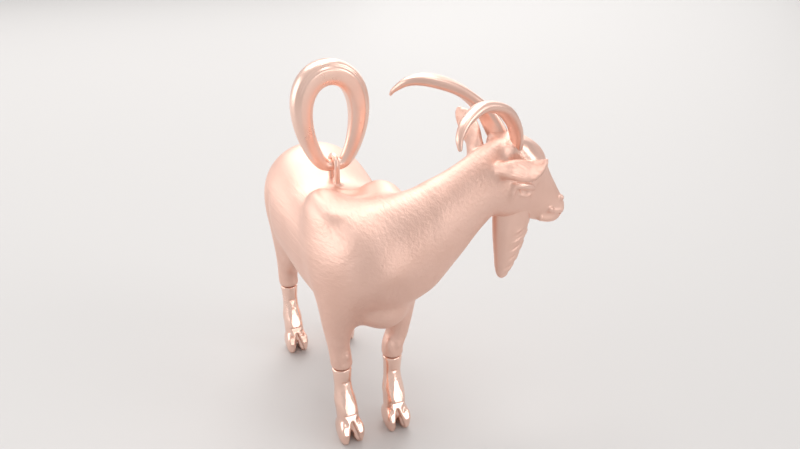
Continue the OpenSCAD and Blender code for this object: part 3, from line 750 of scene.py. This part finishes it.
def build_horn(name, cad, s):
    m, n = 96, 26
    r = rings(horn_line(s), [0.81, -0.33, -0.45] if s > 0 else [-0.55, -0.50, -0.60], m, n, [s * 0.8, 0.54, 0.27])
    k = len(r)
    # round the tip
    c = r.mean(1, keepdims=True)
    t = np.arange(k) / (k - 1)
    end = np.sqrt(np.clip(1 - ((t - 0.965) / 0.035).clip(0, 1) ** 2, 0.0004, 1))
    r = c + (r - c) * end[:, None, None]
    # shallow channel down each flat face, a lip along both edges
    a = 2 * np.pi * np.arange(m) / m
    flat = np.exp(-((np.abs(np.cos(a)) - 1) / 0.17) ** 2)
    lip = np.exp(-((np.abs(np.abs(np.cos(a)) - 0.62)) / 0.14) ** 2)
    fade = (np.clip((t - 0.10) / 0.12, 0, 1) * np.clip((0.93 - t) / 0.3, 0, 1))[:, None]
    g = 1 - 0.11 * flat[None] * fade + 0.012 * lip[None] * fade
    r = c + (r - c) * g[..., None]
    pts, quads = capped(r)
    return make_object(name, pts, quads, stands_for=[cad], material=mat_horn)


def build_beard():
    rows = [
        hrow(0, 18.2, 30.6, 1.7, 2.4, 3.0), hrow(0, 18.05, 29.2, 1.55, 2.45, 2.75), hrow(0, 17.8, 26.6, 1.4, 2.2, 2.3), hrow(0, 17.5, 24.2, 1.15, 1.7, 1.7),
        hrow(0, 17.2, 22.4, 0.85, 1.15, 1.15), hrow(0, 17.1, 21.2, 0.5, 0.7, 0.7), hrow(0, 17.1, 20.8, 0.2, 0.25, 0.25)]
    m, n = 160, 34
    r = rings(rows, [0, 1, 0], m, n)
    c = r.mean(1, keepdims=True)
    z, y = r[..., 2], r[..., 1]
    # locks: slanting rolls across the front half, and a smooth roll down the back edge
    front = np.clip((y - c[..., 1] + 0.5) / 1.0, 0, 1)
    back = np.exp(-((y - c[..., 1] + 0.62 * (c[..., 1] - y.min(1, keepdims=True))) / 0.55) ** 2)
    u = z - 0.42 * (y - 17.5)
    low = np.clip((29.0 - z) / 1.5, 0, 1) * np.clip((z - 20.9) / 1.2, 0, 1)
    rolls = np.sin(u * 2 * np.pi / 1.35 + 0.7 * np.sin(u * 1.1)) + 0.45 * np.sin(u * 2 * np.pi / 0.62 + 1.3)
    d = (0.075 * rolls * front + 0.05 * back) * low
    nrm = unit(r - c)
    r = r + nrm * d[..., None]
    pts, quads = capped(r)
    return make_object("goat_beard", pts, quads, stands_for=["beard"], material=mat_beard)


def build_tail():
    rows = [
        [-16.0, 0, 29.8, 0.9, 0.9, 0.9, 2], [-17.2, 0, 30.0, 1.0, 0.9, 0.9, 2], [-18.4, 0, 29.2, 1.1, 0.7, 0.7, 2],
        [-19.2, 0, 27.8, 0.9, 0.5, 0.5, 2], [-19.6, 0, 26.6, 0.4, 0.25, 0.25, 2]]
    m, n = 96, 24
    r = rings(rows, [1, 0, 1], m, n)
    k = len(r)
    c = r.mean(1, keepdims=True)
    t = np.arange(k) / (k - 1)
    end = np.sqrt(np.clip(1 - ((t - 0.93) / 0.07).clip(0, 1) ** 2, 0.0004, 1))[:, None, None]
    a = 2 * np.pi * np.arange(m) / m
    lock = (0.045 * np.sin(7 * a[None] + 1.5 * np.sin(3 * t)[:, None]) * np.sin(np.pi * t)[:, None] ** 0.6)
    r = c + (r - c) * end * (1 + lock)[..., None]
    pts, quads = capped(r)
    return make_object("goat_tail", pts, quads, stands_for=["tail"], material=mat_horn)


# ---------------------------------------------------------------- eye ring and bail
RING_X, RING_Z, RING_R, WIRE = -1.9, 33.7, 0.82 + 0.375, 0.75


def build_ring():
    path = [(RING_X - RING_R, 0, z) for z in np.linspace(29.9, RING_Z, 24)[:-1]]
    path += [(RING_X - RING_R * math.cos(a), 0, RING_Z + RING_R * math.sin(a)) for a in np.linspace(0, math.pi, 61)]
    path += [(RING_X + RING_R, 0, z) for z in np.linspace(RING_Z, 29.9, 24)[1:]]
    p = np.array(path)
    tan = unit(np.gradient(p, axis=0))
    s = np.broadcast_to(vec(0, 1, 0), p.shape)
    u = np.cross(s, tan)
    a = 2 * np.pi * np.arange(40) / 40
    # the wire spreads a little where it is soldered to the back
    w = WIRE / 2 * (1 + 0.22 * np.clip((31.9 - p[:, 2]) / 0.5, 0, 1) ** 2)
    r = p[:, None] + (s[:, None] * np.cos(a)[None, :, None] + u[:, None] * np.sin(a)[None, :, None]) * w[:, None, None]
    pts, quads = capped(r)
    return make_object("eye_ring_wire", pts, quads, stands_for=["eye_ring"], material=mat_bail)


def build_bail():
    """A teardrop band: flat inside, flat edges, domed outside with a groove along its front edge; a round wire below."""
    bail_h, bail_w, bw, bt, wd = 14.3, 10.3, 3.2, 2.6, 1.5
    h = bail_h - wd / 2 - bt / 2
    k = 220
    a = np.linspace(0, 2 * np.pi, 2 * k, endpoint=False)
    t = a / 2                                   # 0 at the pin, pi at the crown, back to the pin
    fold = np.where(a <= np.pi, a, 2 * np.pi - a)
    g = (1 - np.cos(fold)) / 2
    cc = np.cos(fold / 2)
    sgn = np.where(a <= np.pi, 1.0, -1.0)
    py = sgn * (0.85 * cc * cc + ((bail_w - 2.2) / 2 * 1.07) * np.sin(fold) * (0.6 + 0.4 * g))
    pz = h * g ** 0.9
    # even steps round the closed line
    line = np.stack([py, pz], -1)
    line = np.concatenate([line, line[:1]])
    d = np.concatenate([[0], np.cumsum(np.linalg.norm(np.diff(line, axis=0), axis=1))])
    m_path = 260
    q = np.linspace(0, d[-1], m_path, endpoint=False)
    # the first and last points of the line are the two ends of the straight pin
    y = np.interp(q, d, line[:, 0])
    z = np.interp(q, d, line[:, 1])
    gg = np.interp(q, d, np.concatenate([g, g[:1]]))
    yz = np.stack([y, z], -1)
    yz[:, 0] -= 0.25 * gg ** 1.5
    yz[:, 1] += 0.12 * gg ** 2
    for _ in range(10):
        yz[1:-1] = 0.5 * yz[1:-1] + 0.25 * (yz[2:] + yz[:-2])
    nx, pv = np.roll(yz, -1, 0), np.roll(yz, 1, 0)
    tan = unit(nx - pv)
    nr = np.stack([tan[:, 1], -tan[:, 0]], -1)  # outward
    def ease(v):
        v = np.clip(v, 0, 1)
        return v * v * (3 - 2 * v)
    W = wd + (bw - wd) * gg ** 0.8
    T = (wd + (bt - wd) * gg ** 0.6) * (1 + 0.10 * ease(-yz[:, 0] / 4.2))
    # section: angle b, outward half is domed, inward half squarer with rounded corners
    m = 720
    b = 2 * np.pi * np.arange(m) / m
    e_in = 2 + 1.5 * ease(1.3 * gg)[:, None]
    e_out = 2 + 0.5 * ease(1.3 * gg)[:, None]
    cb, sb = np.cos(b)[None], np.sin(b)[None]
    e = np.where(sb > 0, e_out, e_in)
    X = W[:, None] / 2 * np.sign(cb) * np.abs(cb) ** (2 / e)
    R = T[:, None] / 2 * np.sign(sb) * np.abs(sb) ** (2 / e)
    # groove between the dome and the edge lip, on both edges
    ang = np.degrees(np.arctan2(sb, np.abs(cb)))
    groove = np.exp(-((ang - 27) / 12.0) ** 2)
    lipz = np.exp(-((ang - 6) / 11.0) ** 2)
    depth = ease((gg - 0.25) / 0.6)[:, None]
    f = 1 - 0.085 * groove * depth + 0.025 * lipz * depth
    X, R = X * f, R * f
    # the band is deeper inward at the crown
    extra = (0.20 * gg ** 0.6 + 0.38 * gg ** 4 + 0.28 * ease(yz[:, 0] / 4.2) * (1 - gg ** 4))[:, None]
    R = np.where(R < 0, R * (1 + extra / (T[:, None] / 2)), R)
    # where the line turns sharply by the pin the inside stays clear of the centre of the turn, so it can't fold
    turn = -np.sum((np.roll(tan, -1, 0) - np.roll(tan, 1, 0)) * nr, axis=1) / np.linalg.norm(nx - pv, axis=1)
    turn = np.max([np.roll(turn, j) for j in range(-3, 4)], axis=0)
    R = np.maximum(R, -0.88 / np.maximum(turn, 1e-3)[:, None])
    # equal steps round each section
    n_even = 128
    Xe, Re = np.empty((m_path, n_even)), np.empty((m_path, n_even))
    for i in range(m_path):
        xs, rs = np.append(X[i], X[i, 0]), np.append(R[i], R[i, 0])
        run = np.concatenate([[0], np.cumsum(np.hypot(np.diff(xs), np.diff(rs)))])
        at = np.linspace(0, run[-1], n_even, endpoint=False)
        Xe[i], Re[i] = np.interp(at, run, xs), np.interp(at, run, rs)
    X, R, m = Xe, Re, n_even
    pts = np.empty((m_path, m, 3))
    pts[..., 0] = RING_X + X
    pts[..., 1] = yz[:, None, 0] + nr[:, None, 0] * R
    pts[..., 2] = RING_Z + yz[:, None, 1] + nr[:, None, 1] * R
    faces = ring_faces(m_path, m, closed_path=True)
    return make_object("bail_loop_band", pts.reshape(-1, 3), faces, body="bail_loop", stands_for=["bail"], material=mat_bail)


# ---------------------------------------------------------------- camera, floor and light
cam_data = bpy.data.cameras.new("camera")
cam = bpy.data.objects.new("camera", cam_data)
bpy.context.scene.collection.objects.link(cam)
th, el = math.radians(23.64), math.radians(23.84)
back = Vector((math.cos(th) * math.cos(el), -math.sin(th) * math.cos(el), math.sin(el)))
cam.location = Vector((81.91 - 0.9, -27.31 - 8.9, 63.95)) * MM
cam.rotation_mode = "QUATERNION"
cam.rotation_quaternion = back.to_track_quat("Z", "Y")
cam_data.sensor_width = 36.0
cam_data.lens = 712.7 / 800 * 36.0
cam_data.clip_start, cam_data.clip_end = 0.004, 20.0
bpy.context.scene.camera = cam


def plain(name, colour, rough):
    m = bpy.data.materials.new(name)
    m.use_nodes = True
    b = m.node_tree.nodes["Principled BSDF"]
    b.inputs["Base Color"].default_value = (*colour, 1)
    b.inputs["Roughness"].default_value = rough
    return m


floor_me = bpy.data.meshes.new("floor")
F = 6.0
floor_me.from_pydata([(-F, -F, 0), (F, -F, 0), (F, F, 0), (-F, F, 0)], [], [(0, 1, 2, 3)])
floor = bpy.data.objects.new("floor", floor_me)
bpy.context.scene.collection.objects.link(floor)
floor_me.materials.append(plain("floor_pale", (0.56, 0.55, 0.545), 0.6))


def area(name, where, aim, size, power, colour=(1, 1, 1), size_y=None):
    d = bpy.data.lights.new(name, "AREA")
    d.shape = "RECTANGLE" if size_y else "SQUARE"
    d.size = size
    if size_y:
        d.size_y = size_y
    d.energy = power
    d.color = colour
    o = bpy.data.objects.new(name, d)
    bpy.context.scene.collection.objects.link(o)
    o.location = Vector(where)
    o.rotation_mode = "QUATERNION"
    o.rotation_quaternion = (Vector(where) - Vector(aim)).to_track_quat("Z", "Y")
    o.visible_camera = False
    return o


mid = (0.0, 0.0, 0.025)
area("key_overhead", (-0.34, 0.02, 0.48), mid, 0.50, 2.0, (1.0, 0.99, 0.975))
area("side_soft", (-0.22, -0.56, 0.17), mid, 0.70, 1.35, (1.0, 0.985, 0.97), size_y=0.38)
area("rim_back", (-0.45, 0.35, 0.22), mid, 0.40, 0.5, (1.0, 0.99, 0.98))
area("front_slot", (0.59, 0.14, 0.068), mid, 0.20, 0.24, (1.0, 0.98, 0.96), size_y=0.13)
area("temple_card", (0.2765, 0.301, 0.2457), mid, 0.20, 0.34, (1.0, 0.99, 0.98))
area("zenith", (0.135, 0.01, 0.54), mid, 0.18, 0.26, (1.0, 0.99, 0.98))

world = bpy.data.worlds.new("studio")
bpy.context.scene.world = world
world.use_nodes = True
wn = world.node_tree
wn.nodes.clear()
wo = node(wn, "ShaderNodeOutputWorld", 600, 0)
bg = node(wn, "ShaderNodeBackground", 400, 0)
bg.inputs["Strength"].default_value = 0.74
tc = node(wn, "ShaderNodeTexCoord", -400, 0)
sp = node(wn, "ShaderNodeSeparateXYZ", -200, 0)
wr = node(wn, "ShaderNodeValToRGB", 100, 0)
wn.links.new(tc.outputs["Generated"], sp.inputs[0])
wn.links.new(sp.outputs[2], wr.inputs[0])
wr.color_ramp.elements[0].position, wr.color_ramp.elements[0].color = 0.0, (0.88, 0.86, 0.85, 1)
wr.color_ramp.elements[1].position, wr.color_ramp.elements[1].color = 0.75, (1.0, 0.98, 0.97, 1)
wn.links.new(wr.outputs[0], bg.inputs[0])
wn.links.new(bg.outputs[0], wo.inputs[0])

scene = bpy.context.scene
scene.view_settings.view_transform = "Standard"

# ---------------------------------------------------------------- make everything
build_body()
build_leg("leg_front_right_hoof", "leg_front_right", "fr", 0.4, 0.33, 0.05)
build_leg("leg_front_left_hoof", "leg_front_left", "fl", 0.0, -0.25, -0.18)
build_leg("leg_rear_right_hoof", "leg_rear_right", "rr", 0.2, 0.15, 0.0)
build_leg("leg_rear_left_hoof", "leg_rear_left", "rl", -0.2, -0.15, 0.0)
build_horn("goat_horn_right", "horn_right", 1)
build_horn("goat_horn_left", "horn_left", -1)
build_beard()
build_tail()
build_ring()
build_bail()
